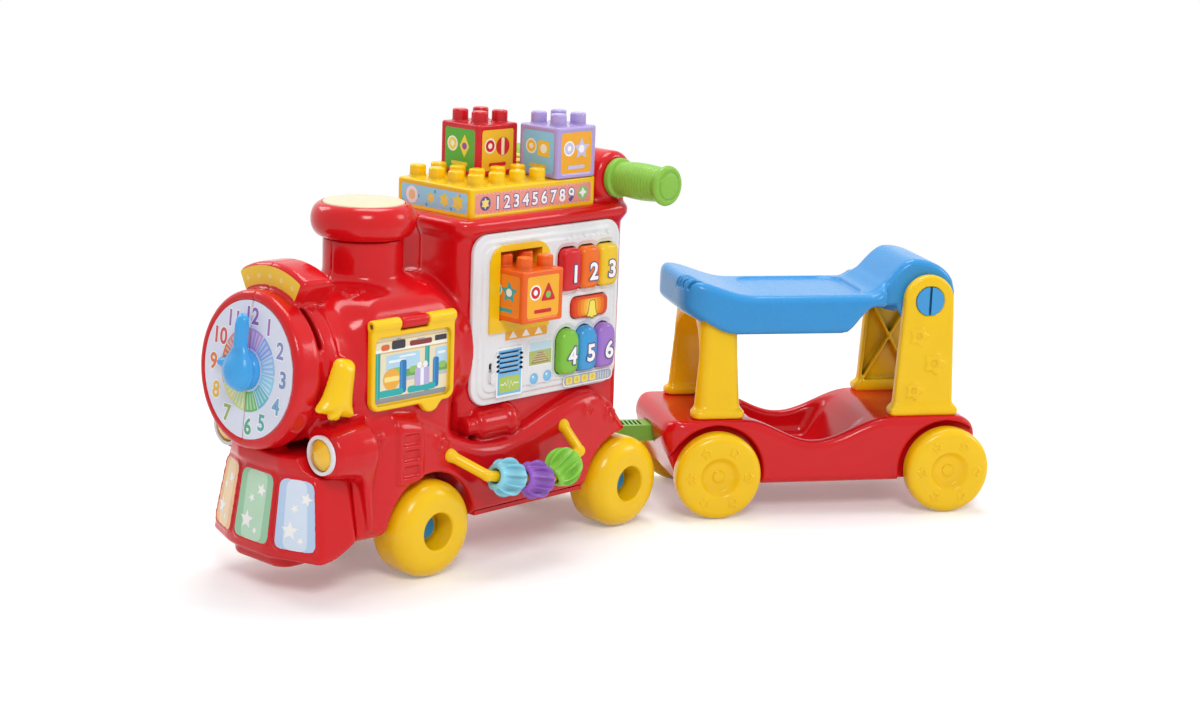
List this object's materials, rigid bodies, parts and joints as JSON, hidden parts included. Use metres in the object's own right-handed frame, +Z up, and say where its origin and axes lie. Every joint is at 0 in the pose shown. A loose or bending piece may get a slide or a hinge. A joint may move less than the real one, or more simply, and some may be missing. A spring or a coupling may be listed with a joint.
{
  "type": "ride on train",
  "caption": "Ride-on toy locomotive with a clock front, activity panel, stud plate, blocks and handle, hitched to a wheeled wagon with a lifting saddle seat.",
  "frame": {"origin": "centre of the bounding box on the ground the wheels stand on", "axes": "+X from the locomotive's nose to its tail, -Y the activity side, +Z up"},
  "size_m": [0.8296, 0.399, 0.4031],
  "materials": {
    "red_plastic": "glossy moulded",
    "yellow_plastic": "glossy moulded",
    "seat_blue": "satin moulded",
    "blue_plastic": "glossy moulded",
    "light_blue_plastic": "glossy moulded",
    "green_grip": "soft touch",
    "green_plastic": "glossy moulded",
    "purple_plastic": "glossy moulded",
    "lilac_plastic": "glossy moulded",
    "orange_plastic": "glossy moulded",
    "white_plastic": "glossy moulded",
    "dial_print": "printed label",
    "label_print": "printed label",
    "cream_plastic": "satin moulded",
    "steel": "bright",
    "dark_plastic": "plain moulded",
    "board": "coated board"
  },
  "bodies": {
    "locomotive": {"shell_right": "red_plastic", "shell_left": "red_plastic", "cowcatcher": "red_plastic", "nose_plates": "label_print", "floor_pan": "red_plastic", "pan_screws": "steel", "chimney_ring": "red_plastic", "clock_dial": "dial_print", "clock_spindle": "steel", "lamp_rings": "white_plastic", "lamp_lenses": "yellow_plastic", "door_pin": "steel", "activity_panel": "white_plastic", "dock_liner": "yellow_plastic", "circuit_board": "board", "speaker": "dark_plastic", "battery_tray": "dark_plastic", "battery_cells": "steel", "battery_cover": "red_plastic", "stud_plate": "yellow_plastic", "grips": "green_grip", "bead_rod": "yellow_plastic", "hitch_pin": "steel", "loco_axles": "steel", "axle_caps": "blue_plastic"},
    "wagon": {"wagon_body": "red_plastic", "drawbar": "green_plastic", "front_arch": "yellow_plastic", "rear_posts": "yellow_plastic", "wagon_axles": "steel"},
    "seat": {"seat": "seat_blue", "seat_pins": "seat_blue"},
    "drum_top": {"drum_top": "cream_plastic"},
    "minute_hand": {"minute_hand": "blue_plastic"},
    "hour_hand": {"hour_hand": "blue_plastic"},
    "bell_right": {"bell_right": "yellow_plastic"},
    "bell_left": {"bell_left": "yellow_plastic"},
    "side_door": {"side_door": "yellow_plastic"},
    "key_1": {"key_1": "red_plastic"},
    "key_2": {"key_2": "orange_plastic"},
    "key_3": {"key_3": "yellow_plastic"},
    "key_4": {"key_4": "green_plastic"},
    "key_5": {"key_5": "blue_plastic"},
    "key_6": {"key_6": "purple_plastic"},
    "bell_key": {"bell_key": "orange_plastic"},
    "mode_slider": {"mode_slider": "white_plastic"},
    "block_red": {"block_red": "red_plastic"},
    "block_purple": {"block_purple": "lilac_plastic"},
    "block_orange": {"block_orange": "orange_plastic"},
    "bead_1": {"bead_1": "light_blue_plastic"},
    "bead_2": {"bead_2": "purple_plastic"},
    "bead_3": {"bead_3": "green_plastic"},
    "wheel_fr": {"wheel_fr": "yellow_plastic"},
    "wheel_fl": {"wheel_fl": "yellow_plastic"},
    "wheel_rr": {"wheel_rr": "yellow_plastic"},
    "wheel_rl": {"wheel_rl": "yellow_plastic"},
    "wagon_wheel_fr": {"wagon_wheel_fr": "yellow_plastic"},
    "wagon_wheel_fl": {"wagon_wheel_fl": "yellow_plastic"},
    "wagon_wheel_rr": {"wagon_wheel_rr": "yellow_plastic"},
    "wagon_wheel_rl": {"wagon_wheel_rl": "yellow_plastic"}
  },
  "joints": [
    {"name": "hitch_turn", "type": "hinge", "parent": "locomotive", "child": "wagon", "pos_m": [0.04911, 0.07817, 0.072], "axis": [0, 0, 1], "range_deg": [-1, 67]},
    {"name": "seat_lift", "type": "hinge", "parent": "wagon", "child": "seat", "pos_m": [0.31581, -0.09503, 0.214], "axis": [0.5446, 0.8387, 0], "range_deg": [0, 100]},
    {"name": "wagon_wheel_fr_spin", "type": "hinge", "parent": "wagon", "child": "wagon_wheel_fr", "pos_m": [0.09322, -0.03752, 0.0435], "axis": [0.5446, 0.8387, 0], "continuous": true},
    {"name": "wagon_wheel_fl_spin", "type": "hinge", "parent": "wagon", "child": "wagon_wheel_fl", "pos_m": [0.17274, 0.08493, 0.0435], "axis": [0.5446, 0.8387, 0], "continuous": true},
    {"name": "wagon_wheel_rr_spin", "type": "hinge", "parent": "wagon", "child": "wagon_wheel_rr", "pos_m": [0.29534, -0.16878, 0.0435], "axis": [0.5446, 0.8387, 0], "continuous": true},
    {"name": "wagon_wheel_rl_spin", "type": "hinge", "parent": "wagon", "child": "wagon_wheel_rl", "pos_m": [0.37486, -0.04633, 0.0435], "axis": [0.5446, 0.8387, 0], "continuous": true},
    {"name": "wheel_fr_spin", "type": "hinge", "parent": "locomotive", "child": "wheel_fr", "pos_m": [-0.25089, 0.01417, 0.0445], "axis": [0, 1, 0], "continuous": true},
    {"name": "wheel_fl_spin", "type": "hinge", "parent": "locomotive", "child": "wheel_fl", "pos_m": [-0.25089, 0.14217, 0.0445], "axis": [0, 1, 0], "continuous": true},
    {"name": "wheel_rr_spin", "type": "hinge", "parent": "locomotive", "child": "wheel_rr", "pos_m": [-0.00089, 0.01417, 0.0445], "axis": [0, 1, 0], "continuous": true},
    {"name": "wheel_rl_spin", "type": "hinge", "parent": "locomotive", "child": "wheel_rl", "pos_m": [-0.00089, 0.14217, 0.0445], "axis": [0, 1, 0], "continuous": true},
    {"name": "minute_turn", "type": "hinge", "parent": "locomotive", "child": "minute_hand", "pos_m": [-0.39688, 0.07817, 0.198], "axis": [-0.9956, 0, 0.0941], "continuous": true},
    {"name": "hour_turn", "type": "hinge", "parent": "locomotive", "child": "hour_hand", "pos_m": [-0.39688, 0.07817, 0.198], "axis": [-0.9956, 0, 0.0941], "continuous": true},
    {"name": "door_lift", "type": "hinge", "parent": "locomotive", "child": "side_door", "pos_m": [-0.27438, 0.00627, 0.238], "axis": [-1, 0, 0], "range_deg": [0, 100]},
    {"name": "bell_right_swing", "type": "hinge", "parent": "locomotive", "child": "bell_right", "pos_m": [-0.35289, 0.00317, 0.206], "axis": [0, 1, 0], "range_deg": [-12, 12]},
    {"name": "bell_left_swing", "type": "hinge", "parent": "locomotive", "child": "bell_left", "pos_m": [-0.35289, 0.15317, 0.206], "axis": [0, 1, 0], "range_deg": [-12, 12]},
    {"name": "drum_press", "type": "slide", "parent": "locomotive", "child": "drum_top", "axis": [0, 0, -1], "range_m": [0, 0.0025], "stiffness_N_per_m": 600, "springref_m": -0.002},
    {"name": "key_1_press", "type": "slide", "parent": "locomotive", "child": "key_1", "axis": [0, 1, 0], "range_m": [0, 0.003], "stiffness_N_per_m": 300, "springref_m": -0.001},
    {"name": "key_2_press", "type": "slide", "parent": "locomotive", "child": "key_2", "axis": [0, 1, 0], "range_m": [0, 0.003], "stiffness_N_per_m": 300, "springref_m": -0.001},
    {"name": "key_3_press", "type": "slide", "parent": "locomotive", "child": "key_3", "axis": [0, 1, 0], "range_m": [0, 0.003], "stiffness_N_per_m": 300, "springref_m": -0.001},
    {"name": "key_4_press", "type": "slide", "parent": "locomotive", "child": "key_4", "axis": [0, 1, 0], "range_m": [0, 0.003], "stiffness_N_per_m": 300, "springref_m": -0.001},
    {"name": "key_5_press", "type": "slide", "parent": "locomotive", "child": "key_5", "axis": [0, 1, 0], "range_m": [0, 0.003], "stiffness_N_per_m": 300, "springref_m": -0.001},
    {"name": "key_6_press", "type": "slide", "parent": "locomotive", "child": "key_6", "axis": [0, 1, 0], "range_m": [0, 0.003], "stiffness_N_per_m": 300, "springref_m": -0.001},
    {"name": "bell_key_press", "type": "slide", "parent": "locomotive", "child": "bell_key", "axis": [0, 1, 0], "range_m": [0, 0.002], "stiffness_N_per_m": 300, "springref_m": -0.001},
    {"name": "mode_slide", "type": "slide", "parent": "locomotive", "child": "mode_slider", "axis": [0, 0, 1], "range_m": [0, 0.008]},
    {"name": "block_red_lift", "type": "slide", "parent": "locomotive", "child": "block_red", "axis": [0, 0, 1], "range_m": [0, 0.06]},
    {"name": "block_purple_lift", "type": "slide", "parent": "locomotive", "child": "block_purple", "axis": [0, 0, 1], "range_m": [0, 0.06]},
    {"name": "block_orange_pull", "type": "slide", "parent": "locomotive", "child": "block_orange", "axis": [0, -1, 0], "range_m": [0, 0.05]},
    {"name": "bead_1_spin", "type": "hinge", "parent": "locomotive", "child": "bead_1", "pos_m": [-0.18615, -0.02583, 0.0878], "axis": [0.9728, 0, -0.2316], "continuous": true},
    {"name": "bead_2_spin", "type": "hinge", "parent": "locomotive", "child": "bead_2", "pos_m": [-0.15002, -0.02583, 0.0792], "axis": [0.9728, 0, -0.2316], "continuous": true},
    {"name": "bead_3_spin", "type": "hinge", "parent": "locomotive", "child": "bead_3", "pos_m": [-0.11399, -0.02583, 0.08512], "axis": [0.8762, 0, 0.4819], "continuous": true}
  ]
}
